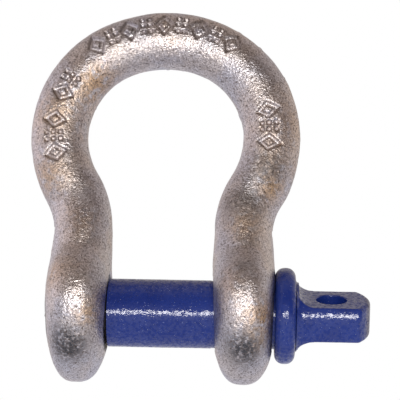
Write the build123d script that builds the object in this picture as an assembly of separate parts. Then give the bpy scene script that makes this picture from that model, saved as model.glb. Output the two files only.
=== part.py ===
from build123d import *
import math
import os

# Bow (anchor) shackle with a screw pin, nominal 3/8 in (10 mm), working load 1 t.
# Frame: origin on the pin axis, midway between the ears. +X runs along the pin towards its
# head, +Z from the pin towards the crown of the bow, Y is square to the bow. Millimetres.

# Driving dimensions of the bow
BAR_R = 4.8             # round bar of the bow
EAR_GAP = 16.8          # clear gap between the ears
EAR_THICK = 10.6        # thickness of an ear at its middle
EAR_R = 11.55           # outer radius of an ear
EAR_POWER = 2.7         # superellipse power of the ear's rounded section
CROWN_Z = 46.85         # bar centreline above the pin axis at the crown
CROWN_R = 19.5          # centreline radius over the crown
SHOULDER_R = 16.6       # centreline radius at the widest part
SHOULDER_X = 1.35       # offset of the shoulder arc's centre from the mid plane
LIMB_X = 13.4           # bar centreline of the straight limbs
REVERSE_R = 12.6        # centreline radius where the shoulders turn back into the limbs
NECK_TOP_Z = 21.0       # the bar starts to deepen towards the ear here
NECK_EASE = 3.0         # height over which the deepening starts
NECK_SLOPE = 0.265      # growth of the half depth per height, below that
NECK_FOOT_Z = 3.86      # the neck ends here, inside the ear
NECK_WIDEN = 0.3        # growth of its half width by then
NECK_OVERLAP = 1.2      # how far the neck's top end reaches up inside the shoulder

# Driving dimensions of the pin
SHANK_R = 5.6           # smooth shank
HOLE_R = 6.0            # plain hole in the ear at the head end
COLLAR_R = 7.95         # collar
COLLAR_THICK = 3.4
COLLAR_ROUND = 1.5      # radius of the collar's edges
COLLAR_FIT = 0.04       # radial gap between the collar ring and the pin it belongs to
SEAT_GAP = 0.05         # axial gap between the collar and the tang
COLLAR_X = 18.8         # the collar's inner face, which seats on the rim of the plain hole
TANG_LENGTH = 12.3      # from the collar's outer face to the tip
TANG_THICK = 5.9
TANG_ROUND_R = 5.65     # radius of the round blank that the two flats are pressed in
TANG_END_R = 8.4        # radius of the tang's rounded end, in plan
FLARE_R = 6.7           # radius of the flare where it meets the collar
FLARE_CURVE_R = 3.2     # concave radius between the flare and the flats
EYE_R = 2.55            # cross hole in the tang
EYE_INSET = 6.4         # from the hole's centre to the tip
TANG_ROLL = 24.6        # degrees that the flats are turned from level, pin screwed home

# Thread, 7/16-14 UNC with running clearance
PITCH = 25.4 / 14
THREAD_CREST_R = 5.5    # pin's crest
THREAD_ROOT_R = 4.55    # pin's root
TAP_CREST_R = 4.75      # ear's crest, the tapped hole's minor radius
TAP_ROOT_R = 5.65       # ear's root
CREST_FLAT = PITCH / 8  # width of the pin thread's crest
FLANK_GAP = 0.10        # axial gap on each flank
FLANK_SLOPE = math.tan(math.radians(30))
COUNTERSINK = 1.5       # depth of the countersink in the tapped ear
PIN_END_INSET = 0.3     # the pin stops this far short of the tapped ear's outer face
THREAD_INSET = 0.5      # the thread ends this far inside the tapped ear, in its countersink

# Worked out
EAR_X = EAR_GAP / 2 + EAR_THICK / 2
EAR_OUTER_X = EAR_GAP / 2 + EAR_THICK
PIN_END_X = -EAR_OUTER_X + PIN_END_INSET
THREAD_END_X = -EAR_GAP / 2 - THREAD_INSET
TANG_X = COLLAR_X + COLLAR_THICK + SEAT_GAP
TIP_X = TANG_X + TANG_LENGTH
PIN_AXIS = Axis((0, 0, 0), (1, 0, 0))


def rod(x_start, x_end, radius):
    """A cylinder along the pin axis."""
    return Plane.YZ.offset(x_start) * extrude(Circle(radius), x_end - x_start)


def limb_arcs():
    """Shoulder centre height, reverse arc's centre and the angle that both arcs turn through below it."""
    lean = CROWN_R - SHOULDER_R
    shoulder_z = CROWN_Z - CROWN_R + math.sqrt(lean**2 - SHOULDER_X**2)
    reverse_x = LIMB_X + REVERSE_R
    reach = SHOULDER_R + REVERSE_R
    reverse_z = shoulder_z - math.sqrt(reach**2 - (reverse_x - SHOULDER_X) ** 2)
    return shoulder_z, reverse_x, reverse_z, math.asin((shoulder_z - reverse_z) / reach)


def bow_centreline():
    """Bar centreline of the right half, from the crown to where the shoulder starts to turn back."""
    shoulder_z, _, _, turn_back = limb_arcs()
    crown_end = math.degrees(math.acos(SHOULDER_X / (CROWN_R - SHOULDER_R)))
    crown = CenterArc((0, CROWN_Z - CROWN_R), CROWN_R, 90, crown_end - 90)
    drop = -crown_end - math.degrees(turn_back)
    shoulder = CenterArc((SHOULDER_X, shoulder_z), SHOULDER_R, crown_end, drop)
    return Plane.XZ * Wire([crown.edge(), shoulder.edge()])


def half_bar(path):
    """The round bar of the right half, from the crown to the lower end of the shoulder."""
    start = Plane(path @ 0, x_dir=(0, 1, 0), z_dir=path % 0)
    return sweep(start * Circle(BAR_R), path=path)


def half_depth(z):
    """Half the bar's depth along Y at a height: it grows from the shoulder down to the ear."""
    fall = max(NECK_TOP_Z - z, 0)
    eased = fall**2 / (2 * NECK_EASE) if fall < NECK_EASE else fall - NECK_EASE / 2
    return BAR_R + NECK_SLOPE * eased


def neck():
    """The limb: it turns back below the shoulder and deepens all the way into the flat ear."""
    _, reverse_x, reverse_z, turn_back = limb_arcs()
    cos, sin = math.cos(turn_back), math.sin(turn_back)
    top_x = reverse_x - REVERSE_R * cos + NECK_OVERLAP * sin
    top_z = reverse_z + REVERSE_R * sin + NECK_OVERLAP * cos
    top = Plane((top_x, 0, top_z), x_dir=(cos, 0, -sin), z_dir=(-sin, 0, -cos))
    sections = [top * Circle(BAR_R - 0.1)]
    for share in (1, 0.8, 0.6, 0.4, 0.2, 0):
        cos, sin = math.cos(share * turn_back), math.sin(share * turn_back)
        x, z = reverse_x - REVERSE_R * cos, reverse_z + REVERSE_R * sin
        square = Plane((x, 0, z), x_dir=(cos, 0, -sin), z_dir=(-sin, 0, -cos))
        sections.append(square * Ellipse(BAR_R, half_depth(z)))
    for share in (0.22, 0.45, 0.7, 1):
        z = reverse_z - share * (reverse_z - NECK_FOOT_Z)
        x = LIMB_X + (EAR_X - LIMB_X) * min(share * 1.4, 1)
        level = Plane((x, 0, z), x_dir=(1, 0, 0), z_dir=(0, 0, -1))
        sections.append(level * Ellipse(BAR_R + NECK_WIDEN * share, half_depth(z)))
    return loft(sections)


def ear():
    """Pebble-shaped disc about the pin axis: nearly flat at the hole, well rounded at the rim."""
    half = EAR_THICK / 2
    rim = []
    for degrees in (90, 66, 45, 27, 12, 0):
        across = math.sin(math.radians(degrees)) ** (2 / EAR_POWER)
        out = math.cos(math.radians(degrees)) ** (2 / EAR_POWER)
        rim.append((EAR_X + half * across, EAR_R * out))
    edge = Spline(rim, tangents=[(0, 1), (-1, 0)])
    mirrored = mirror(edge, Plane.YZ.offset(EAR_X))
    foot = Line((EAR_X - half, 0), (EAR_X + half, 0))
    section = make_face(Wire([foot, edge.edge(), mirrored.edge()]))
    return revolve(section, PIN_AXIS)


def helix_turns(crest_r, root_r, crest_flat, x_start, turns):
    """A right-handed helical ridge about the pin axis, narrowing to its crest, as one solid per turn."""
    base_r = root_r - 0.15
    base_half = crest_flat / 2 + (crest_r - base_r) * FLANK_SLOPE
    crest_half = crest_flat / 2
    height = crest_r - base_r
    outline = Polyline((0, -base_half), (height, -crest_half), (height, crest_half), (0, base_half), close=True)
    ridge = []
    for turn in range(turns):
        centre = (x_start + turn * PITCH, 0, 0)
        path = Helix(PITCH, PITCH, base_r, center=centre, direction=(1, 0, 0))
        start = path @ 0
        radial = Vector(0, start.Y, start.Z).normalized()
        section_plane = Plane(start, x_dir=radial, z_dir=path % 0)
        ridge.append(sweep(section_plane * make_face(outline), path=path, is_frenet=True))
    return ridge


def thread_start(turns_before):
    """Start of a thread helix: every helix here starts a whole number of turns from the others."""
    return PIN_END_X - turns_before * PITCH


def tapped_hole():
    """The cutters for the tapped ear: minor bore, countersink and the turns of the helical groove."""
    bore = rod(-EAR_OUTER_X - 1, -EAR_GAP / 2 + 1, TAP_CREST_R)
    crest = CREST_FLAT + 2 * FLANK_GAP - 2 * (TAP_ROOT_R - THREAD_CREST_R) * FLANK_SLOPE
    turns = math.ceil(EAR_THICK / PITCH) + 3
    grooves = helix_turns(TAP_ROOT_R, TAP_CREST_R, crest, thread_start(2), turns)
    inner_x = -EAR_GAP / 2
    sink = Polyline(
        (inner_x - COUNTERSINK, 0),
        (inner_x - COUNTERSINK, TAP_CREST_R),
        (inner_x + 0.5, TAP_CREST_R + COUNTERSINK + 1.2),
        (inner_x + 0.5, 0),
        close=True,
    )
    return [bore, revolve(make_face(sink), PIN_AXIS)] + grooves


def bow():
    """The forged bow with both ears, one tapped and one plain."""
    half = half_bar(bow_centreline()) + neck() + ear()
    whole = half + mirror(half, Plane.YZ)
    plain_hole = rod(EAR_GAP / 2 - 1, EAR_OUTER_X + 1, HOLE_R)
    whole = whole - plain_hole
    for cutter in tapped_hole():
        whole = whole - cutter
    return whole


def concave_arc(start_x, start_r, end_r, radius):
    """Hollow arc from start_r at start_x in to end_r, level where it ends, and the x of that end."""
    drop = start_r - end_r
    run = math.sqrt(radius**2 - (radius - drop) ** 2)
    centre_x = start_x + run
    centre_r = end_r + radius
    middle = math.radians(270) - math.asin(run / radius) / 2
    halfway = (centre_x + radius * math.cos(middle), centre_r + radius * math.sin(middle))
    return ThreePointArc((start_x, start_r), halfway, (centre_x, end_r)).edge(), centre_x


def flared_side(neck_r, curve_r):
    """Edges from the pin axis out to a flare at the collar that narrows to neck_r and runs on to the tip."""
    root = Line((TANG_X, 0), (TANG_X, FLARE_R)).edge()
    flare, flare_end = concave_arc(TANG_X, FLARE_R, neck_r, curve_r)
    side = Line((flare_end, neck_r), (TIP_X, neck_r)).edge()
    cap = Line((TIP_X, neck_r), (TIP_X, 0)).edge()
    return [root, flare, side, cap]


def tang():
    """The head beyond the collar: a flared round blank with two flats and an end rounded in plan."""
    axis_line = Line((TIP_X, 0), (TANG_X, 0)).edge()
    round_side = flared_side(TANG_ROUND_R, FLARE_R - TANG_ROUND_R)
    blank = revolve(make_face(Wire(round_side + [axis_line])), PIN_AXIS)
    flat_side = flared_side(TANG_THICK / 2, FLARE_CURVE_R)
    mirrored = [mirror(edge, Plane.XZ).edge() for edge in flat_side]
    flats = extrude(Plane.XZ * make_face(Wire(flat_side + mirrored)), 2 * FLARE_R, both=True)
    end = Pos(TIP_X - TANG_END_R, 0, 0) * Rot(0, 0, 180) * Cylinder(TANG_END_R, 4 * FLARE_R)
    base = rod(TANG_X, TIP_X - TANG_END_R, 2 * FLARE_R)
    return blank & flats & (end + base)


def screw_pin():
    """Threaded end, smooth shank and tang: all of the pin except its collar."""
    core = rod(PIN_END_X, THREAD_END_X + 1, THREAD_ROOT_R)
    turns = math.ceil((THREAD_END_X - PIN_END_X) / PITCH) + 2
    ridge = helix_turns(THREAD_CREST_R, THREAD_ROOT_R, CREST_FLAT, thread_start(1), turns)
    outside = THREAD_CREST_R + 0.2
    lead = outside - THREAD_ROOT_R
    envelope = Polyline(
        (PIN_END_X, 0),
        (PIN_END_X, THREAD_ROOT_R - 0.2),
        (PIN_END_X + lead, outside),
        (THREAD_END_X + 0.5, outside),
        (THREAD_END_X + 0.5, 0),
        close=True,
    )
    thread = (core + ridge) & revolve(make_face(envelope), PIN_AXIS)
    shank = chamfer(rod(THREAD_END_X, TANG_X + 0.5, SHANK_R).edges().sort_by(Axis.X)[0], 0.4)
    head = fillet(tang().edges().filter_by_position(Axis.X, TIP_X - 3, TIP_X), 0.7)
    eye = Pos(TIP_X - EYE_INSET, 0, 0) * Cylinder(EYE_R, 4 * TANG_THICK)
    head = head - eye
    return thread + shank + Rot(TANG_ROLL, 0, 0) * head


def pin_collar():
    """The collar that seats on the plain ear, a ring of revolution with rounded edges."""
    ring = rod(COLLAR_X, COLLAR_X + COLLAR_THICK, COLLAR_R)
    ring = fillet(ring.edges().filter_by(GeomType.CIRCLE), COLLAR_ROUND)
    return ring - rod(COLLAR_X - 1, COLLAR_X + COLLAR_THICK + 1, SHANK_R + COLLAR_FIT)


def main():
    os.makedirs("parts", exist_ok=True)
    nodes = {"bow": bow(), "screw_pin": screw_pin(), "pin_collar": pin_collar()}
    for name, shape in nodes.items():
        export_step(shape, f"parts/{name}.step")
        box = shape.bounding_box()
        print(name, len(shape.solids()), round(shape.volume, 1), box.min, box.max)


main()
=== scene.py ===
import itertools
import math

import bmesh
import bpy
import numpy as np
from mathutils import Matrix, Vector
from mathutils.kdtree import KDTree


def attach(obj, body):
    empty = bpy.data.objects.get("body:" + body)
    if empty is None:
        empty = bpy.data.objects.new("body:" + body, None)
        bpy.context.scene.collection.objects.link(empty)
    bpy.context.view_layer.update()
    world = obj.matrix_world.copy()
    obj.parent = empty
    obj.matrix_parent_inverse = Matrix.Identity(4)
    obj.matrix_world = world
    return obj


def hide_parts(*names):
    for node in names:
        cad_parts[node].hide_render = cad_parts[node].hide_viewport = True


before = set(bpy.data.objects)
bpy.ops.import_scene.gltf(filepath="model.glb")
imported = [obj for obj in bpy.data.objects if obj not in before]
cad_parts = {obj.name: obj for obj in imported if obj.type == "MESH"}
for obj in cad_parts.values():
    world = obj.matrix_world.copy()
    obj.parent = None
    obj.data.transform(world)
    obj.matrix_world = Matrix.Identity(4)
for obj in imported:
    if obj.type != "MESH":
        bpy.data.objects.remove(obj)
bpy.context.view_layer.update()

# Looks of a galvanised bow shackle with a blue screw pin. Lengths are in millimetres, turned into
# metres where a mesh, light or camera is made. +X runs along the pin to its head, +Z to the crown,
# and the camera is on the -Y side.
MM = 0.001

# The bow, as in the CAD
BAR_R = 4.8
EAR_X = 13.7
EAR_HALF = 5.3
EAR_R = 11.55
EAR_POWER = 2.7
CROWN_CENTRE_Z = 27.35
CROWN_R = 19.5
SHOULDER_R = 16.6
SHOULDER_X = 1.35
LIMB_X = 13.4
REVERSE_R = 12.6
NECK_TOP_Z = 21.0       # the bar starts to deepen towards the ear here
NECK_EASE = 3.0         # height over which the deepening starts
NECK_SLOPE = 0.265      # growth of the half depth per height, below that
NECK_LENGTH = 10.4      # height over which the limb moves out into the ear
NECK_WIDEN = 0.36       # growth of its half width on the way
NECK_WIDEN_RATE = 1.6   # how much sooner that growth is over
NECK_FADE = 0.3         # share of that height over which it dies away inside the ear
NECK_SHRINK = 0.8       # share of its size that it loses there
BLEND_AT_SIDES = 0.15   # width of the rounding between neck and ear
BLEND_AT_FRONT = 1.8    # and how much wider it is at the front and back
EAR_LIFT = 1.6          # how far above the pin axis an ear is deepest
HALVINGS = 30           # steps that find a point of an ear's surface
RIDGE_RIGHT = 0.6       # how far inside the bar's centreline the forging's highest line lies
RIDGE_LEFT = -0.3
RIDGE_CROWN = -0.3
RIDGE_EASE = 8.0        # length of bar over which that starts, above the limbs
CROWNWARD_Z = 30.0      # the bar goes over from limb to crown from this height
CROWNWARD_REACH = 14.0
SHOULDER_SWELL = 0.3    # the bar's extra width on the outside of its lower shoulders
SWELL_Z = 19.5
SWELL_REACH = 5.5
BAR_STEP = 0.24         # between rings of the bar's mesh
EAR_STEP = 0.34         # between level rings of an ear's mesh
EAR_FOOT_Z = -4.0       # below this the level rings crowd together towards the round foot
RING_POINTS = 150
FRONT_DENSITY = 0.3     # how much closer the points of a ring are at its front
MARK_RELIEF = 0.52      # height of the raised forging marks
MARK_STEP = 2.8         # from one mark to the next in a row
MARK_ROWS = (           # place of a row's first mark along the bar, marks in it, how far out it lies
    (-11.7, 9, 1.55),
    (-31.4, 3, 0.35),
    (-21.2, 2, 0.35),
    (23.4, 3, 0.1),
)
MARK_EDGE = 0.4         # width of a mark's sloping edge
DIAMOND_HALF = (1.1, 1.65)
DIAMOND_LINE = 0.27     # half the width of a diamond's outline
PIP_HALF = (0.30, 0.36)
PIP_ASIDE = 0.55        # a pip's middle from the middle of its group, along the bar
PIP_ABOVE = 1.25        # and across it, for the outer pips
TIP_RINGS = 22          # rings that close the round foot of an ear

# The pin, its thread and its collar, as in the CAD
SHANK_R = 5.6
HOLE_R = 6.0
PITCH = 25.4 / 14
THREAD_CREST_R = 5.46
THREAD_ROOT_R = 4.58
TAP_CREST_R = 4.75
TAP_ROOT_R = 5.65
CREST_FLAT = PITCH / 8
FLANK_GAP = 0.10
FLANK_SLOPE = math.tan(math.radians(30))
PIN_END_X = -18.7
LEAD_IN_R = 4.35        # radius of the pin's end face, from which its lead-in grows
THREAD_PHASE = PIN_END_X - PITCH / 4    # a crest crosses the +Y side here
THREAD_END_X = -8.9
RUNOUT = 0.9            # length over which the thread runs out before that
RUNOUT_SLOPE = 1.2
RUNOUT_R = 5.2          # radius that the thread's root grows to there
SHOULDER_END_X = -8.66  # the painted shank reaches its full radius here
SHOULDER_SLOPE = 2.0
SHANK_INSET = 0.02      # the bare shank lies this far inside the CAD's
INNER_FACE_X = -8.4
SINK_DEPTH = 1.6        # countersink of the tapped hole
SINK_SLOPE = 1.4
SINK_EDGE_R = 6.46      # painted shade darkens the tapped ear nearer to the axis than this
HOLE_REACH = 7.0        # the holes are cut this far from an ear's middle
SINK_REACH = 1.2        # and the countersink this far past the inner face
PLAIN_EDGE = 4.68       # the plain hole is eased this far from the ear's middle
TAPPED_EDGE = 4.6       # and the tapped hole this far, on its outer side
COLLAR_X = 18.8
COLLAR_THICK = 3.4
COLLAR_R = 7.95
COLLAR_BORE_R = 5.64
COLLAR_ROUND = 1.5
COLLAR_FACE_R = 6.0     # the collar's faces are plain inside this radius
BORE_EASE = 0.15
TANG_X = 22.25
TIP_X = 34.55
PAINT_FILM = 0.07       # how far the paint stands out on the shank between the ears
THREAD_ROW = 0.07       # between rows of a thread's mesh
SHANK_ROW = 0.25        # between rows of a smooth stretch
TURN_POINTS = 128
COLLAR_POINTS = 200
VOXEL = 0.13            # of the tang's mesh

# The viewpoint: level turn, climb and roll of the camera, and where it aims beside the pin axis
CAMERA_TURN = -1.76
CAMERA_CLIMB = 10.78
CAMERA_ROLL = 1.29
CAMERA_DISTANCE = 268.0
CAMERA_LENS = 145.3
AIM_RIGHT = 6.45
AIM_UP = 18.83
FLOOR_Z = -60.0
FLOOR_REACH = 1500.0

# The softbox beside the camera
LIGHT_RIGHT = 14.0
LIGHT_UP = 26.0
LIGHT_DISTANCE = 262.0
LIGHT_SIZE = (150, 38)
LIGHT_POWER = 0.40
LIGHT_COLOUR = (1.0, 0.98, 0.96)


# Shapes as numbers

def cell_values(cells, seed):
    """A random number from -1 to 1 for each whole-number cell of space."""
    keys = cells.astype(np.uint64)
    mixed = keys[:, 0] * np.uint64(73856093) ^ keys[:, 1] * np.uint64(19349663)
    mixed = mixed ^ keys[:, 2] * np.uint64(83492791) ^ np.uint64(seed * 2654435761)
    mixed = (mixed ^ (mixed >> np.uint64(15))) * np.uint64(0x2C1B3C6D) & np.uint64(0xFFFFFFFF)
    mixed = (mixed ^ (mixed >> np.uint64(12))) * np.uint64(0x297A2D39) & np.uint64(0xFFFFFFFF)
    mixed = mixed ^ (mixed >> np.uint64(15))
    return mixed.astype(float) / 2**31 - 1


def field(points, size, seed):
    """A smooth random field over space, from -1 to 1, with features about size wide."""
    cells = points / size + 1000
    base = np.floor(cells)
    part = cells - base
    ease = part * part * (3 - 2 * part)
    total = np.zeros(len(points))
    for corner in itertools.product((0, 1), repeat=3):
        weight = np.prod(np.where(corner, ease, 1 - ease), axis=1)
        total += weight * cell_values(base + corner, seed)
    return total


def smoothstep(value):
    """Eases from 0 to 1."""
    value = np.clip(value, 0, 1)
    return value * value * (3 - 2 * value)


def soft_max(a, b, width):
    """The larger of two numbers, rounded where they come within width of each other."""
    near = np.clip(1 - np.abs(a - b) / width, 0, 1)
    return np.maximum(a, b) + near * near * width / 4


def grid_faces(rows, columns):
    """Quads of a tube of rings, each ring closed on itself."""
    ring = np.arange(columns)
    onward = (ring + 1) % columns
    band = np.stack([ring, onward, onward + columns, ring + columns], axis=1)
    faces = []
    for row in range(rows - 1):
        faces += (band + row * columns).tolist()
    return faces


def grid_normals(grid):
    """Unit normals of a grid of rings."""
    along = np.gradient(grid, axis=0)
    around = np.roll(grid, -1, axis=1) - np.roll(grid, 1, axis=1)
    normals = np.cross(around, along)
    return normals / np.maximum(np.linalg.norm(normals, axis=2, keepdims=True), 1e-12)


def tube_mesh(grid, start_point, end_point):
    """Points and faces of a tube of rings, closed at both ends by a fan to a point."""
    rows, columns, _ = grid.shape
    points = np.concatenate([grid.reshape(-1, 3), [start_point], [end_point]])
    faces = grid_faces(rows, columns)
    first, last = rows * columns, rows * columns + 1
    final_row = (rows - 1) * columns
    for column in range(columns):
        onward = (column + 1) % columns
        faces.append([first, onward, column])
        faces.append([last, final_row + column, final_row + onward])
    return points, faces


def make_object(name, points, faces):
    """A mesh object from points in millimetres, its faces turned outwards."""
    mesh = bpy.data.meshes.new(name)
    mesh.from_pydata((np.asarray(points) * MM).tolist(), [], faces)
    made = bpy.data.objects.new(name, mesh)
    bpy.context.scene.collection.objects.link(made)
    shell = bmesh.new()
    shell.from_mesh(mesh)
    bmesh.ops.recalc_face_normals(shell, faces=shell.faces)
    shell.to_mesh(mesh)
    shell.free()
    return made


def mesh_points(made):
    """An object's vertices in millimetres."""
    flat = np.empty(len(made.data.vertices) * 3, np.float32)
    made.data.vertices.foreach_get("co", flat)
    return flat.reshape(-1, 3).astype(float) / MM


def apply_modifiers(made):
    """Keeps what the modifiers make of the mesh, and drops the modifiers."""
    depsgraph = bpy.context.evaluated_depsgraph_get()
    result = bpy.data.meshes.new_from_object(made.evaluated_get(depsgraph))
    made.modifiers.clear()
    made.data = result


def combine(made, other, operation):
    """Cuts another closed mesh from this one, or joins it on, and removes the other."""
    step = made.modifiers.new("combine", "BOOLEAN")
    step.operation = operation
    step.solver = "MANIFOLD"
    step.object = other
    apply_modifiers(made)
    bpy.data.objects.remove(other)


def outward_normals(made):
    """An object's unit vertex normals."""
    flat = np.empty(len(made.data.vertices) * 3, np.float32)
    made.data.vertex_normals.foreach_get("vector", flat)
    return flat.reshape(-1, 3)


def store(made, name, values):
    """Keeps one number per vertex, for the materials."""
    attribute = made.data.attributes.new(name, "FLOAT", "POINT")
    attribute.data.foreach_set("value", np.asarray(values, np.float32))


def shade(made, sharp_degrees):
    """Smooth shading, except over edges sharper than this."""
    made.data.shade_smooth()
    made.data.set_sharp_from_angle(angle=math.radians(sharp_degrees))


def nearest_values(points, sources, values):
    """For each point, the value at the nearest of the sources."""
    tree = KDTree(len(sources))
    for index, source in enumerate(sources):
        tree.insert(source, index)
    tree.balance()
    return values[[tree.find(point)[1] for point in points]]


def spots(points, places):
    """Soft round spots, each given as (x, y, z), radius and strength."""
    total = np.zeros(len(points))
    for place, radius, strength in places:
        distance = np.linalg.norm(points - np.array(place), axis=1)
        total += strength * np.exp(-((distance / radius) ** 2))
    return total


# Where the forging is pitted and stained, and where shade is painted on the front of the ears' feet:
# each place's (x, y, z), radius and strength
PITTED_PLACES = (
    ((17.6, -4.5, 24.0), 3.0, 1.0),
    ((16.0, -4.5, 19.0), 2.4, 0.6),
    ((14.0, -9.0, 6.5), 2.6, 0.9),
    ((-13.9, -9.0, 6.0), 2.6, 0.7),
    ((-14.0, -9.5, -6.5), 4.0, 0.8),
    ((14.0, -9.5, -7.0), 4.0, 0.8),
    ((-18.0, 4.5, 27.0), 4.0, 0.7),
    ((5.0, 4.8, 46.0), 3.5, 0.7),
)
GOLD_PLACES = (
    ((-11.4, -4.4, 38.2), 4.0, 0.9),
    ((-18.0, -4.0, 33.0), 4.5, 0.6),
    ((-19.0, -4.0, 22.0), 4.0, 0.7),
    ((18.2, -4.4, 20.6), 2.6, 1.0),
    ((20.0, -4.0, 32.0), 5.0, 0.45),
    ((16.4, -9.5, -1.5), 3.2, 1.0),
    ((16.8, -9.5, -6.0), 2.2, 0.7),
    ((-11.2, -10.5, -1.5), 2.4, 0.8),
    ((-17.0, -9.0, 5.0), 3.0, 0.6),
    ((12.0, -9.5, 4.0), 3.0, 0.45),
    ((19.0, 4.0, 30.0), 5.0, 0.5),
    ((-12.0, 4.0, 40.0), 5.0, 0.5),
    ((-14.0, 10.0, 3.0), 4.0, 0.6),
    ((-13.4, -7.0, 14.5), 3.4, 0.5),
    ((13.8, -7.0, 14.5), 3.4, 0.6),
    ((17.5, -4.6, 25.5), 3.0, 0.4),
)
# Dark flux stains; the first two places, on the front of the ears' feet, are painted shade.
SOOT_AND_SHADE_PLACES = (
    ((-14.4, -9.5, -6.8), 3.4, 1.4),
    ((13.8, -9.5, -7.2), 3.4, 1.3),
    ((17.4, -4.6, 24.0), 2.8, 0.8),
    ((13.6, -9.5, 6.4), 1.6, 0.5),
    ((14.0, 9.0, -7.0), 4.0, 0.6),
    ((-14.0, 9.0, 7.0), 4.0, 0.5),
    ((11.4, -4.6, 18.0), 3.2, 0.5),
    ((15.0, -5.0, 19.0), 2.4, 0.5),
)


# The bow

def bar_stations():
    """Ring centres and outward directions of the right half's bar, from the limb up to the crown."""
    lean = CROWN_R - SHOULDER_R
    shoulder_z = CROWN_CENTRE_Z + math.sqrt(lean**2 - SHOULDER_X**2)
    reverse_x = LIMB_X + REVERSE_R
    reach = SHOULDER_R + REVERSE_R
    reverse_z = shoulder_z - math.sqrt(reach**2 - (reverse_x - SHOULDER_X) ** 2)
    turn_back = math.asin((shoulder_z - reverse_z) / reach)
    crown_end = math.acos(SHOULDER_X / lean)
    arcs = (
        (reverse_x, reverse_z, REVERSE_R, math.pi, math.pi - turn_back, -1),
        (SHOULDER_X, shoulder_z, SHOULDER_R, -turn_back, crown_end, 1),
        (0, CROWN_CENTRE_Z, CROWN_R, crown_end, math.pi / 2, 1),
    )
    stations = []
    for centre_x, centre_z, radius, start, end, outward in arcs:
        count = math.ceil(abs(end - start) * radius / BAR_STEP)
        for angle in np.linspace(start, end, count, endpoint=False):
            way = (math.cos(angle), math.sin(angle))
            place = (centre_x + radius * way[0], centre_z + radius * way[1])
            stations.append((place, (outward * way[0], outward * way[1])))
    stations.append(((0, CROWN_CENTRE_Z + CROWN_R), (0, 1)))
    return stations, reverse_z


def ear_levels(limb_top_z):
    """Heights of the level rings of an ear and its neck, from the foot up."""
    tip = np.linspace(0, math.pi / 2, TIP_RINGS + 1)[1:-1]
    foot = -EAR_R + (EAR_R + EAR_FOOT_Z) * (1 - np.cos(tip))
    rise = np.arange(EAR_FOOT_Z, limb_top_z - EAR_STEP / 2, EAR_STEP)
    return np.concatenate([foot, rise])


def half_depth(z):
    """Half the bar's depth at a height: it grows from the shoulder down to the ear."""
    fall = max(NECK_TOP_Z - z, 0)
    eased = fall**2 / (2 * NECK_EASE) if fall < NECK_EASE else fall - NECK_EASE / 2
    return BAR_R + NECK_SLOPE * eased


def ear_radius(level, angles):
    """Distance from the ear's middle line to its surface, at one level, by halving the interval."""
    level = level - EAR_LIFT * (1 - (level / EAR_R) ** 2)
    low = np.zeros(len(angles))
    high = np.full(len(angles), EAR_R)
    for _ in range(HALVINGS):
        middle = (low + high) / 2
        across = np.abs(middle * np.cos(angles)) / EAR_HALF
        out = np.hypot(middle * np.sin(angles), level) / EAR_R
        inside = across**EAR_POWER + out**EAR_POWER < 1
        low = np.where(inside, middle, low)
        high = np.where(inside, high, middle)
    return low


def level_ring(level, limb_top_z, angles):
    """One level ring of the right ear and neck."""
    share = (limb_top_z - level) / NECK_LENGTH
    eased = smoothstep(share)
    half_x = BAR_R + NECK_WIDEN * smoothstep(share * NECK_WIDEN_RATE)
    half_y = half_depth(level)
    neck = 1 / np.hypot(np.cos(angles) / half_x, np.sin(angles) / half_y)
    radius = ear_radius(level, angles) if abs(level) < EAR_R else np.zeros(len(angles))
    if share < 1 + NECK_FADE:
        neck *= 1 - NECK_SHRINK * smoothstep((share - 1) / NECK_FADE)
        blend = BLEND_AT_SIDES + BLEND_AT_FRONT * np.abs(np.sin(angles))
        radius = soft_max(neck, radius, blend)
    centre_x = LIMB_X + (EAR_X - LIMB_X) * eased
    ring = np.empty((len(angles), 3))
    ring[:, 0] = centre_x + radius * np.cos(angles)
    ring[:, 1] = -radius * np.sin(angles)
    ring[:, 2] = level
    return ring


def bar_ring(place, outward, shift, swell, angles):
    """One ring of the bar, square to its line: swollen outwards, its highest line moved inwards."""
    front = np.sin(angles)
    out = (BAR_R + swell * (1 + np.cos(angles)) / 2) * np.cos(angles) - shift * front**2
    ring = np.empty((len(angles), 3))
    ring[:, 0] = place[0] + out * outward[0]
    ring[:, 1] = -half_depth(place[1]) * front
    ring[:, 2] = place[1] + out * outward[1]
    return ring


def half_rings(angles, ridge):
    """Rings of the right half, from the ear's foot to the crown, its highest line moved in by ridge."""
    stations, limb_top_z = bar_stations()
    rings = [level_ring(level, limb_top_z, angles) for level in ear_levels(limb_top_z)]
    for index, (place, outward) in enumerate(stations):
        crownward = smoothstep((place[1] - CROWNWARD_Z) / CROWNWARD_REACH)
        shift = ridge + (RIDGE_CROWN - ridge) * crownward
        shift *= smoothstep(index * BAR_STEP / RIDGE_EASE)
        swell = SHOULDER_SWELL * math.exp(-(((place[1] - SWELL_Z) / SWELL_REACH) ** 2))
        rings.append(bar_ring(place, outward, shift, swell, angles))
    return np.array(rings)


def bow_grid():
    """Rings over the whole bow, with how far along the bar each one lies from the crown."""
    angles = np.linspace(0, 2 * math.pi, RING_POINTS, endpoint=False)
    angles = angles + FRONT_DENSITY * np.cos(angles)
    right = half_rings(angles, RIDGE_RIGHT)
    left = half_rings(angles, RIDGE_LEFT)[-2::-1] * (-1, 1, 1)
    grid = np.concatenate([right, left])
    middles = grid.mean(axis=1)
    steps = np.linalg.norm(np.diff(middles, axis=0), axis=1)
    along = np.concatenate([[0], np.cumsum(steps)])
    along = along[len(right) - 1] - along
    return grid, along, angles


def rounded_box(a, b, half_a, half_b):
    """Distance outside a rounded bar, negative inside it."""
    corner = min(half_a, half_b) * 0.6
    past_a = np.abs(a) - half_a + corner
    past_b = np.abs(b) - half_b + corner
    outside = np.hypot(np.maximum(past_a, 0), np.maximum(past_b, 0))
    return outside + np.minimum(np.maximum(past_a, past_b), 0) - corner


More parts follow.
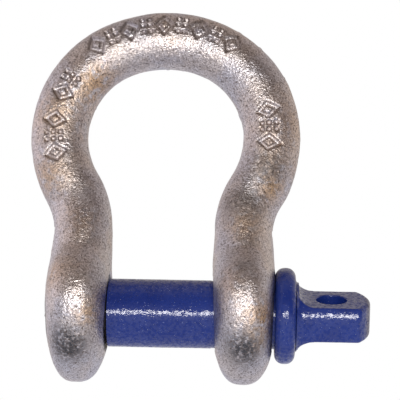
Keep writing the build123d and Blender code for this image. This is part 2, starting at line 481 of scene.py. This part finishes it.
def lozenge(a, b, half_a, half_b):
    """Distance outside a diamond, roughly, negative inside it."""
    return (np.abs(a) / half_a + np.abs(b) / half_b - 1) * min(half_a, half_b) * 0.8


def diamond(a, b):
    """Distance outside the outline of a diamond, negative on it."""
    return np.abs(lozenge(a, b, *DIAMOND_HALF)) - DIAMOND_LINE


def pips(a, b):
    """Distance outside two columns of three pips, negative on them."""
    beside = np.abs(a) - PIP_ASIDE
    middle = rounded_box(beside, b, *PIP_HALF)
    ends = rounded_box(beside, np.abs(b) - PIP_ABOVE, *PIP_HALF)
    return np.minimum(middle, ends)


def ornament(along, out):
    """The raised forging marks, from 0 to 1: rows of diamonds and pips that spell nothing."""
    marks = []
    for first, count, aside in MARK_ROWS:
        for index in range(count):
            a, b = along - first - index * MARK_STEP, out - aside
            marks.append(pips(a, b) if index % 2 else diamond(a, b))
    return smoothstep(0.5 - np.min(marks, axis=0) / MARK_EDGE)


def forged_height(points):
    """How far the forging's skin stands out from its true shape, apart from its marks."""
    height = 0.08 * field(points, 7.0, 1) + 0.045 * field(points, 2.6, 2)
    height += 0.024 * field(points, 1.1, 3) + 0.016 * field(points, 0.5, 4)
    pitted = spots(points, PITTED_PLACES)
    height += np.minimum(field(points, 0.75, 5) - 0.2, 0) * 0.16 * np.clip(pitted, 0, 1)
    pits = smoothstep((field(points, 1.3, 6) - 0.72) / 0.2)
    return height - 0.10 * pits


def thread_profile(offset, crest_r, root_r, crest_flat):
    """Radius of a thread at a distance along the pin from a crest's middle."""
    away = np.abs((offset + PITCH / 2) % PITCH - PITCH / 2)
    slope = np.maximum(away - crest_flat / 2, 0) / FLANK_SLOPE
    return np.maximum(crest_r - slope, root_r)


def turned_grid(levels, radius_at):
    """Rings about the pin axis, whose radius may change along and around."""
    angles = np.linspace(0, 2 * math.pi, TURN_POINTS, endpoint=False)
    x, around = np.meshgrid(levels, angles, indexing="ij")
    radius = radius_at(x, around)
    return np.stack([x, radius * np.cos(around), radius * np.sin(around)], axis=2)


def turned_object(name, levels, radius_at):
    """A closed solid about the pin axis."""
    grid = turned_grid(levels, radius_at)
    points, faces = tube_mesh(grid, (levels[0], 0, 0), (levels[-1], 0, 0))
    return make_object(name, points, faces)


def thread_offset(x, around):
    """Distance along the pin from the middle of the nearest crest's helix."""
    return x - THREAD_PHASE - PITCH * around / (2 * math.pi)


def plain_hole_radius(x, around):
    """The clearance hole, with its edges eased."""
    return HOLE_R + np.maximum(np.abs(x - EAR_X) - PLAIN_EDGE, 0)


def tapped_hole_radius(x, around):
    """The tapped hole: thread groove, inner countersink and an eased outer edge."""
    flat = CREST_FLAT + 2 * FLANK_GAP - 2 * (TAP_ROOT_R - THREAD_CREST_R) * FLANK_SLOPE
    groove = thread_profile(thread_offset(x, around), TAP_ROOT_R, TAP_CREST_R, flat)
    sink = TAP_CREST_R + (x - INNER_FACE_X + SINK_DEPTH) * SINK_SLOPE
    outer = TAP_CREST_R + np.maximum(-x - EAR_X - TAPPED_EDGE, 0)
    return np.maximum(np.maximum(groove, sink), outer)


def build_bow():
    """The forged bow with both ears and their holes."""
    grid, along, angles = bow_grid()
    columns = len(angles)
    out = np.tile(BAR_R * (math.pi / 2 - angles), len(grid))
    front = np.tile(np.sin(angles) > 0, len(grid))
    points = grid.reshape(-1, 3)
    raised = np.where(front, ornament(np.repeat(along, columns), out), 0)
    height = forged_height(points) + MARK_RELIEF * raised
    moved = grid + grid_normals(grid) * height.reshape(len(grid), columns, 1)
    foot = np.array([EAR_X, 0, -EAR_R])
    points, faces = tube_mesh(moved, foot, foot * (-1, 1, 1))
    bow = make_object("forged_bow", points, faces)
    rows = np.arange(EAR_X - HOLE_REACH, EAR_X + HOLE_REACH, SHANK_ROW)
    combine(bow, turned_object("plain_hole", rows, plain_hole_radius), "DIFFERENCE")
    rows = np.arange(-EAR_X - HOLE_REACH, INNER_FACE_X + SINK_REACH, THREAD_ROW)
    combine(bow, turned_object("tapped_hole", rows, tapped_hole_radius), "DIFFERENCE")
    shade(bow, 42)
    points = mesh_points(bow)
    store(bow, "gold", np.clip(spots(points, GOLD_PLACES), 0, 1))
    store(bow, "soot_and_shade", np.clip(spots(points, SOOT_AND_SHADE_PLACES), 0, 1))
    # Painted shade: the tapped hole and its countersink are darkened as if in shadow.
    in_hole = (np.hypot(points[:, 1], points[:, 2]) < SINK_EDGE_R) & (points[:, 0] < 0)
    store(bow, "shade_and_grime", in_hole)
    store(bow, "raised", nearest_values(points, moved.reshape(-1, 3), raised))
    return bow


# The pin

def pin_radius(x, around):
    """The pin's thread, its lead-in and its smooth shank."""
    thread = thread_profile(thread_offset(x, around), THREAD_CREST_R, THREAD_ROOT_R, CREST_FLAT)
    lead_in = LEAD_IN_R + np.maximum(x - PIN_END_X, 0)
    runout = THREAD_ROOT_R + np.maximum(x - THREAD_END_X + RUNOUT, 0) * RUNOUT_SLOPE
    thread = np.minimum(np.maximum(thread, np.minimum(runout, RUNOUT_R)), lead_in)
    shank = SHANK_R - SHANK_INSET - SHOULDER_SLOPE * np.maximum(SHOULDER_END_X - x, 0)
    return np.where(x < THREAD_END_X, thread, shank)


def paint_height(points):
    """Ripples and small runs of the thick paint film."""
    height = 0.012 * field(points * (0.6, 1, 1), 1.2, 11) + 0.02 * field(points, 4.0, 12)
    between_ears = (points[:, 0] > SHOULDER_END_X) & (points[:, 0] < -INNER_FACE_X)
    return height - 0.015 + PAINT_FILM * between_ears


def build_pin_head():
    """The flatted tang with its flare and eye, copied from the CAD and softened at its edges."""
    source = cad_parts["screw_pin"]
    head = bpy.data.objects.new("pin_head", source.data.copy())
    head.data.materials.clear()
    bpy.context.scene.collection.objects.link(head)
    shell = bmesh.new()
    shell.from_mesh(head.data)
    bmesh.ops.remove_doubles(shell, verts=shell.verts, dist=1e-6)
    everything = shell.verts[:] + shell.edges[:] + shell.faces[:]
    cut_at = Vector((TANG_X - 0.4, 0, 0)) * MM
    along = (1, 0, 0)
    bmesh.ops.bisect_plane(shell, geom=everything, plane_co=cut_at, plane_no=along, clear_inner=True)
    bmesh.ops.holes_fill(shell, edges=[edge for edge in shell.edges if edge.is_boundary])
    shell.to_mesh(head.data)
    shell.free()
    remesh = head.modifiers.new("remesh", "REMESH")
    remesh.mode = "VOXEL"
    remesh.voxel_size = VOXEL * MM
    smooth = head.modifiers.new("smooth", "SMOOTH")
    smooth.factor = 0.5
    smooth.iterations = 7
    apply_modifiers(head)
    return head


def edge_sharpness(made):
    """How far each vertex stands out from its neighbours: high on convex edges."""
    points = mesh_points(made)
    edges = np.empty(len(made.data.edges) * 2, np.int32)
    made.data.edges.foreach_get("vertices", edges)
    edges = edges.reshape(-1, 2)
    total = np.zeros_like(points)
    count = np.zeros(len(points))
    for a, b in ((0, 1), (1, 0)):
        np.add.at(total, edges[:, a], points[edges[:, b]])
        np.add.at(count, edges[:, a], 1)
    stand = points - total / np.maximum(count, 1)[:, None]
    return np.sum(stand * outward_normals(made), axis=1)


def build_pin():
    """The screw pin: thread, shank and tang in one mesh."""
    thread = np.arange(PIN_END_X, THREAD_END_X + 0.5, THREAD_ROW)
    shank = np.arange(THREAD_END_X + 0.6, TANG_X - 0.1, SHANK_ROW)
    pin = turned_object("blue_screw_pin", np.concatenate([thread, shank]), pin_radius)
    combine(pin, build_pin_head(), "UNION")
    points = mesh_points(pin)
    on_shank = (points[:, 0] > THREAD_END_X) & (points[:, 0] < COLLAR_X)
    on_tang = points[:, 0] > TANG_X + 0.1
    height = np.where(on_shank | on_tang, paint_height(points), 0)
    points = points + outward_normals(pin) * height[:, None]
    pin.data.vertices.foreach_set("co", (points * MM).astype(np.float32).ravel())
    pin.data.update()
    shade(pin, 50)
    radius = np.hypot(points[:, 1], points[:, 2])
    crest = smoothstep((radius - 5.2) / 0.2) * (points[:, 0] < THREAD_END_X - 0.05)
    rim = smoothstep(edge_sharpness(pin) / 0.012 - 0.6) * on_tang
    store(pin, "wear", np.clip(crest + 0.6 * rim, 0, 1))
    # Painted shade in the gap between the shank's shoulder and the tapped ear; the tang's tip is made
    # darker too.
    gap = (points[:, 0] < SHOULDER_END_X - 0.02) & (points[:, 0] > THREAD_END_X - 0.6)
    store(pin, "shade_and_grime", np.maximum(gap, 0.5 * smoothstep((points[:, 0] - TIP_X + 1.2) / 0.8)))
    return pin


def collar_profile():
    """Closed outline of the collar's section, as pairs of x and radius."""
    far = COLLAR_X + COLLAR_THICK
    profile = [(COLLAR_X, COLLAR_BORE_R + BORE_EASE), (COLLAR_X, COLLAR_FACE_R)]
    quarter = np.linspace(0, math.pi / 2, 14)
    for side, centre in ((-1, COLLAR_X + COLLAR_ROUND), (1, far - COLLAR_ROUND)):
        for turn in quarter[::-side]:
            x = centre + side * COLLAR_ROUND * math.cos(turn)
            profile.append((x, COLLAR_R - COLLAR_ROUND + COLLAR_ROUND * math.sin(turn)))
    profile += [(far, COLLAR_FACE_R), (far, COLLAR_BORE_R + BORE_EASE)]
    profile += [(far - BORE_EASE, COLLAR_BORE_R), (COLLAR_X + BORE_EASE, COLLAR_BORE_R)]
    return np.array(profile)


def build_collar():
    """The collar, a ring with well rounded edges."""
    profile = collar_profile()
    angles = np.linspace(0, 2 * math.pi, COLLAR_POINTS, endpoint=False)
    grid = np.empty((len(angles), len(profile), 3))
    grid[:, :, 0] = profile[:, 0]
    grid[:, :, 1] = np.outer(np.cos(angles), profile[:, 1])
    grid[:, :, 2] = np.outer(np.sin(angles), profile[:, 1])
    points = grid.reshape(-1, 3)
    painted = np.tile(profile[:, 1] > COLLAR_FACE_R + 0.1, len(angles))
    radial = points * (0, 1, 1)
    radial /= np.linalg.norm(radial, axis=1, keepdims=True)
    points = points + radial * (painted * paint_height(points) * 1.6)[:, None]
    faces = grid_faces(len(angles), len(profile))
    last = (len(angles) - 1) * len(profile)
    for column in range(len(profile)):
        onward = (column + 1) % len(profile)
        faces.append([last + column, last + onward, onward, column])
    collar = make_object("blue_collar", points, faces)
    shade(collar, 50)
    store(collar, "wear", np.zeros(len(collar.data.vertices)))
    store(collar, "shade_and_grime", np.zeros(len(collar.data.vertices)))
    return collar


# Materials

MIX_FACTOR, MIX_A, MIX_B = 0, 6, 7      # the Mix node's inputs when it mixes colours
MIX_RESULT = 2                          # and its output
ZINC_WARM = (0.735, 0.665, 0.625)
ZINC_LILAC = (0.675, 0.655, 0.685)
# Rubbed zinc, and a painted highlight, on the tops of the raised marks
ZINC_RUBBED_AND_HIGHLIT = (0.92, 0.88, 0.87)
GOLD_STAIN = (0.62, 0.41, 0.23)
# Dark flux stains, and painted shade on the front of the ears' feet
FLUX_STAIN_AND_SHADE = (0.075, 0.078, 0.085)
GRIT = (0.24, 0.20, 0.18)
SPECK = (0.10, 0.075, 0.06)
# Painted shade, with dirt, in the crease round each mark's foot
DIRT_AND_SHADE_AT_MARKS = (0.16, 0.125, 0.11)
# Painted shade in the tapped hole and its countersink
SHADE_IN_HOLE = (0.05, 0.044, 0.041)
PAINT_DARK = (0.008, 0.024, 0.170)
PAINT_LIGHT = (0.0105, 0.030, 0.196)
PAINT_DUST = (0.30, 0.36, 0.62)
# Painted shade in the gap at the tapped ear, and the darker tang tip
PAINT_SHADE_AND_GRIME = (0.035, 0.030, 0.032)
BARE_STEEL = (0.36, 0.34, 0.33)
FLOOR_DARK = (0.77, 0.79, 0.84)
FLOOR_LIGHT = (0.81, 0.83, 0.88)
FLOOR_GLOW = (0.87, 0.97, 1.17, 1)


def add_node(tree, kind, inputs=(), **settings):
    """Adds a node. inputs gives each socket a value or another node's output."""
    made = tree.nodes.new(kind)
    for name, value in settings.items():
        setattr(made, name, value)
    for socket, value in dict(inputs).items():
        if isinstance(value, bpy.types.NodeSocket):
            tree.links.new(value, made.inputs[socket])
        else:
            made.inputs[socket].default_value = value
    return made


def noise(tree, coords, size, detail=3.0, roughness=0.55, distortion=0.0):
    """Cloudy noise with features about size millimetres wide, from 0 to 1."""
    inputs = {
        "Vector": coords,
        "Scale": 1 / (size * MM),
        "Detail": detail,
        "Roughness": roughness,
        "Distortion": distortion,
    }
    return add_node(tree, "ShaderNodeTexNoise", inputs).outputs["Fac"]


def remap(tree, value, low, high, to_low=0.0, to_high=1.0):
    """Maps low..high to to_low..to_high, smoothly and clamped."""
    inputs = {0: value, 1: low, 2: high, 3: to_low, 4: to_high}
    return add_node(tree, "ShaderNodeMapRange", inputs, interpolation_type="SMOOTHSTEP").outputs[0]


def calculate(tree, operation, a, b):
    """One sum, product and so on of two values."""
    return add_node(tree, "ShaderNodeMath", {0: a, 1: b}, operation=operation).outputs[0]


def blend_colours(tree, factor, a, b):
    """From colour a to colour b as the factor goes from 0 to 1."""
    made = add_node(tree, "ShaderNodeMix", data_type="RGBA")
    tree.links.new(factor, made.inputs[MIX_FACTOR])
    for socket, colour in ((made.inputs[MIX_A], a), (made.inputs[MIX_B], b)):
        if isinstance(colour, bpy.types.NodeSocket):
            tree.links.new(colour, socket)
        else:
            socket.default_value = (*colour, 1)
    return made.outputs[MIX_RESULT]


def bump(tree, height, depth, before=None):
    """A bump of this depth in millimetres, on top of the bump before it."""
    inputs = {"Height": height, "Distance": depth * MM, "Strength": 1.0}
    if before is not None:
        inputs["Normal"] = before
    return add_node(tree, "ShaderNodeBump", inputs).outputs[0]


def new_material(name):
    """A material with its tree, object coordinates and shader."""
    material = bpy.data.materials.new(name)
    material.use_nodes = True
    tree = material.node_tree
    tree.nodes.clear()
    coords = add_node(tree, "ShaderNodeTexCoord").outputs["Object"]
    shader = add_node(tree, "ShaderNodeBsdfPrincipled")
    output = add_node(tree, "ShaderNodeOutputMaterial")
    tree.links.new(shader.outputs[0], output.inputs[0])
    return material, tree, coords, shader


def attribute(tree, name):
    """A stored per-vertex number."""
    return add_node(tree, "ShaderNodeAttribute", attribute_name=name).outputs["Fac"]


def stained_zinc(tree, coords):
    """Grey zinc with lilac and warm areas, gold stains, dark flux stains, and painted shade on the
    front of the ears' feet.
    """
    warmth = remap(tree, noise(tree, coords, 6.0), 0.36, 0.64)
    colour = blend_colours(tree, warmth, ZINC_WARM, ZINC_LILAC)
    stain = remap(tree, noise(tree, coords, 1.1, detail=5.0), 0.32, 0.55)
    gold = calculate(tree, "MULTIPLY", attribute(tree, "gold"), stain)
    scattered = remap(tree, noise(tree, coords, 9.0, detail=4.0), 0.56, 0.75, 0.0, 0.45)
    gold = calculate(tree, "MAXIMUM", gold, calculate(tree, "MULTIPLY", scattered, stain))
    colour = blend_colours(tree, gold, colour, GOLD_STAIN)
    # Dark flux stains, and painted shade on the front of the ears' feet.
    patch = remap(tree, noise(tree, coords, 0.6, detail=4.0), 0.24, 0.54)
    soot_and_shade = calculate(tree, "MULTIPLY", attribute(tree, "soot_and_shade"), patch)
    return blend_colours(tree, soot_and_shade, colour, FLUX_STAIN_AND_SHADE)


def zinc_colour(tree, coords, specks):
    """Stained zinc with grit and specks; the marks' tops rubbed bright with a painted highlight,
    painted shade and dirt round their feet, and painted shade in the tapped hole.
    """
    colour = stained_zinc(tree, coords)
    fine = noise(tree, coords, 0.27, detail=2.0, roughness=0.6)
    colour = blend_colours(tree, remap(tree, fine, 0.38, 0.58, 0.60, 0.0), colour, GRIT)
    colour = blend_colours(tree, specks, colour, SPECK)
    raised = attribute(tree, "raised")
    # Painted shade, with dirt, in the crease round each raised mark's foot.
    foot = remap(tree, raised, 0.02, 0.2, 0.0, 0.5)
    outline = calculate(tree, "MULTIPLY", foot, remap(tree, raised, 0.45, 0.8, 1.0, 0.0))
    colour = blend_colours(tree, outline, colour, DIRT_AND_SHADE_AT_MARKS)
    # The marks' tops are rubbed bright and carry a painted highlight.
    colour = blend_colours(tree, remap(tree, raised, 0.6, 1.0, 0.0, 0.6), colour, ZINC_RUBBED_AND_HIGHLIT)
    # Painted shade darkens the tapped hole and its countersink.
    return blend_colours(tree, attribute(tree, "shade_and_grime"), colour, SHADE_IN_HOLE)


def galvanised_material():
    """Hot-dip zinc on a forging."""
    material, tree, coords, shader = new_material("galvanised_zinc")
    fine = noise(tree, coords, 0.30, detail=2.0, roughness=0.6)
    grain = noise(tree, coords, 0.62, detail=3.0, roughness=0.65)
    swell = noise(tree, coords, 2.6, detail=2.0)
    specks = remap(tree, noise(tree, coords, 0.34, detail=3.0), 0.55, 0.68, 0.0, 0.8)
    shader.inputs["Metallic"].default_value = 1.0
    tree.links.new(zinc_colour(tree, coords, specks), shader.inputs["Base Color"])
    roughness = remap(tree, noise(tree, coords, 3.2, detail=5.0), 0.35, 0.68, 0.30, 0.42)
    roughness = calculate(tree, "ADD", roughness, calculate(tree, "MULTIPLY", specks, 0.2))
    stained = calculate(tree, "ADD", attribute(tree, "gold"), attribute(tree, "soot_and_shade"))
    stained = calculate(tree, "MULTIPLY", stained, 0.14)
    roughness = calculate(tree, "ADD", roughness, stained)
    tree.links.new(roughness, shader.inputs["Roughness"])
    normal = bump(tree, swell, 0.08)
    normal = bump(tree, grain, 0.13, normal)
    normal = bump(tree, fine, 0.10, normal)
    tree.links.new(normal, shader.inputs["Normal"])
    return material


def paint_material():
    """Thick gloss blue paint on steel, worn through at the thread and nicked here and there."""
    material, tree, coords, shader = new_material("gloss_blue_paint")
    cloud = remap(tree, noise(tree, coords, 5.0, detail=3.0), 0.35, 0.65)
    colour = blend_colours(tree, cloud, PAINT_DARK, PAINT_LIGHT)
    dust = remap(tree, noise(tree, coords, 0.32, detail=1.0), 0.70, 0.76)
    colour = blend_colours(tree, calculate(tree, "MULTIPLY", dust, 0.35), colour, PAINT_DUST)
    chips = noise(tree, coords, 1.3, detail=4.0, roughness=0.6, distortion=1.5)
    bare = calculate(tree, "MULTIPLY", attribute(tree, "wear"), remap(tree, chips, 0.46, 0.58))
    colour = blend_colours(tree, bare, colour, BARE_STEEL)
    # Painted shade in the gap at the tapped ear, and a darker tang tip.
    colour = blend_colours(tree, attribute(tree, "shade_and_grime"), colour, PAINT_SHADE_AND_GRIME)
    tree.links.new(colour, shader.inputs["Base Color"])
    tree.links.new(remap(tree, bare, 0.3, 0.7), shader.inputs["Metallic"])
    tree.links.new(remap(tree, cloud, 0.0, 1.0, 0.40, 0.52), shader.inputs["Roughness"])
    shader.inputs["Specular IOR Level"].default_value = 0.15
    beads = remap(tree, noise(tree, coords, 0.55, detail=1.0), 0.40, 0.54, 0.35, 0.95)
    tree.links.new(beads, shader.inputs["Coat Weight"])
    shader.inputs["Coat Roughness"].default_value = 0.07
    shader.inputs["Coat IOR"].default_value = 1.5
    nibs = remap(tree, noise(tree, coords, 0.45, detail=1.0), 0.66, 0.74)
    normal = bump(tree, noise(tree, coords, 1.3, detail=1.0), 0.045)
    normal = bump(tree, noise(tree, coords, 0.45, detail=2.0), 0.042, normal)
    normal = bump(tree, nibs, 0.05, normal)
    tree.links.new(normal, shader.inputs["Normal"])
    tree.links.new(normal, shader.inputs["Coat Normal"])
    return material


def floor_material():
    """Pale matt floor with the faintest mottling and a glow, as a lit table gives back."""
    material, tree, coords, shader = new_material("pale_floor")
    cloud = noise(tree, coords, 60.0, detail=2.0)
    colour = blend_colours(tree, cloud, FLOOR_DARK, FLOOR_LIGHT)
    tree.links.new(colour, shader.inputs["Base Color"])
    shader.inputs["Roughness"].default_value = 0.9
    shader.inputs["Emission Color"].default_value = FLOOR_GLOW
    shader.inputs["Emission Strength"].default_value = 0.36
    return material


# Surroundings

STUDIO_RIGHT = (0.84, 0.77, 0.73)
STUDIO_LEFT = (1.08, 1.02, 1.12)
ROOM_ABOVE = (0.50, 0.435, 0.42)
ROOM_BEHIND = (0.60, 0.56, 0.54)
ROOM_BEFORE = (0.130, 0.094, 0.080)
BACKDROP = (1.0, 1.0, 1.0)


def camera_axes():
    """The camera's forward, right and up directions."""
    turn, climb, roll = (math.radians(value) for value in (CAMERA_TURN, CAMERA_CLIMB, CAMERA_ROLL))
    ahead = Vector((math.sin(turn), math.cos(turn), 0))
    forward = ahead * math.cos(climb) + Vector((0, 0, math.sin(climb)))
    level = Vector((math.cos(turn), -math.sin(turn), 0))
    upright = level.cross(forward)
    right = level * math.cos(roll) + upright * math.sin(roll)
    up = upright * math.cos(roll) - level * math.sin(roll)
    return forward, right, up


def beside_camera(right_by, up_by, distance):
    """A point beside the camera's line through the pin's middle."""
    forward, right, up = camera_axes()
    return (right * right_by + up * up_by - forward * distance) * MM


def face_along(thing, forward, up):
    """Turns a camera or light to look along forward."""
    across = forward.cross(up).normalized()
    turned = Matrix((across, across.cross(forward), -forward)).transposed()
    thing.rotation_euler = turned.to_euler()


def add_camera():
    """The photograph's viewpoint: nearly square on, a little from below."""
    forward, right, up = camera_axes()
    lens = bpy.data.cameras.new("camera")
    lens.lens = CAMERA_LENS
    lens.sensor_width = 36
    lens.clip_start = 0.01
    camera = bpy.data.objects.new("camera", lens)
    bpy.context.scene.collection.objects.link(camera)
    camera.location = beside_camera(AIM_RIGHT, AIM_UP, CAMERA_DISTANCE)
    face_along(camera, forward, up)
    bpy.context.scene.camera = camera


def add_softbox(lit):
    """A wide softbox that faces the pin's middle and lights only the things given."""
    lamp = bpy.data.lights.new("front_light", "AREA")
    lamp.shape = "RECTANGLE"
    lamp.size, lamp.size_y = (value * MM for value in LIGHT_SIZE)
    lamp.energy = LIGHT_POWER
    lamp.color = LIGHT_COLOUR
    light = bpy.data.objects.new("front_light", lamp)
    bpy.context.scene.collection.objects.link(light)
    light.location = beside_camera(LIGHT_RIGHT, LIGHT_UP, LIGHT_DISTANCE)
    face_along(light, -light.location.normalized(), Vector((0, 0, 1)))
    receivers = bpy.data.collections.new("shackle")
    for piece in lit:
        receivers.objects.link(piece)
    light.light_linking.receiver_collection = receivers


def toward(tree, direction, way, low, high):
    """How near a direction of the surroundings is to a given way, eased from 0 to 1."""
    dot = add_node(tree, "ShaderNodeVectorMath", {0: direction, 1: way}, operation="DOT_PRODUCT")
    return remap(tree, dot.outputs["Value"], low, high)


def add_surroundings():
    """A white studio, with the dim warm room in front of the object and over it that steel reflects."""
    world = bpy.data.worlds.new("studio")
    world.use_nodes = True
    bpy.context.scene.world = world
    tree = world.node_tree
    tree.nodes.clear()
    direction = add_node(tree, "ShaderNodeTexCoord").outputs["Generated"]
    leftward = toward(tree, direction, (-1, 0, 0), -0.6, 0.8)
    colour = blend_colours(tree, leftward, STUDIO_RIGHT, STUDIO_LEFT)
    above = toward(tree, direction, (0, 0, 1), 0.20, 0.80)
    colour = blend_colours(tree, above, colour, ROOM_ABOVE)
    behind = toward(tree, direction, (0, 1, 0), 0.60, 0.95)
    colour = blend_colours(tree, behind, colour, ROOM_BEHIND)
    before = toward(tree, direction, (0.30, -0.95, 0), 0.15, 0.66)
    colour = blend_colours(tree, before, colour, ROOM_BEFORE)
    seen = add_node(tree, "ShaderNodeLightPath").outputs["Is Camera Ray"]
    colour = blend_colours(tree, seen, colour, BACKDROP)
    backdrop = add_node(tree, "ShaderNodeBackground", {"Color": colour})
    output = add_node(tree, "ShaderNodeOutputWorld")
    tree.links.new(backdrop.outputs[0], output.inputs[0])


def add_floor():
    """A wide pale floor below the object."""
    ways = ((-1, -1), (1, -1), (1, 1), (-1, 1))
    corners = [(x * FLOOR_REACH, y * FLOOR_REACH, FLOOR_Z) for x, y in ways]
    floor = make_object("floor", corners, [[0, 1, 2, 3]])
    floor.data.materials.append(floor_material())


def place(piece, material, body, node, slot):
    """Gives a piece its material and its place in the frame."""
    piece.data.materials.clear()
    piece.data.materials.append(material)
    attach(piece, body)
    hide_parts(node)


zinc, paint = galvanised_material(), paint_material()
bow, pin, collar = build_bow(), build_pin(), build_collar()
place(bow, zinc, "bow", "bow", "galvanised_steel")
place(pin, paint, "pin", "screw_pin", "blue_paint")
place(collar, paint, "pin_slide", "pin_collar", "blue_paint")
add_camera()
add_surroundings()
add_floor()
add_softbox((bow, pin, collar))
bpy.context.scene.view_settings.view_transform = "Standard"
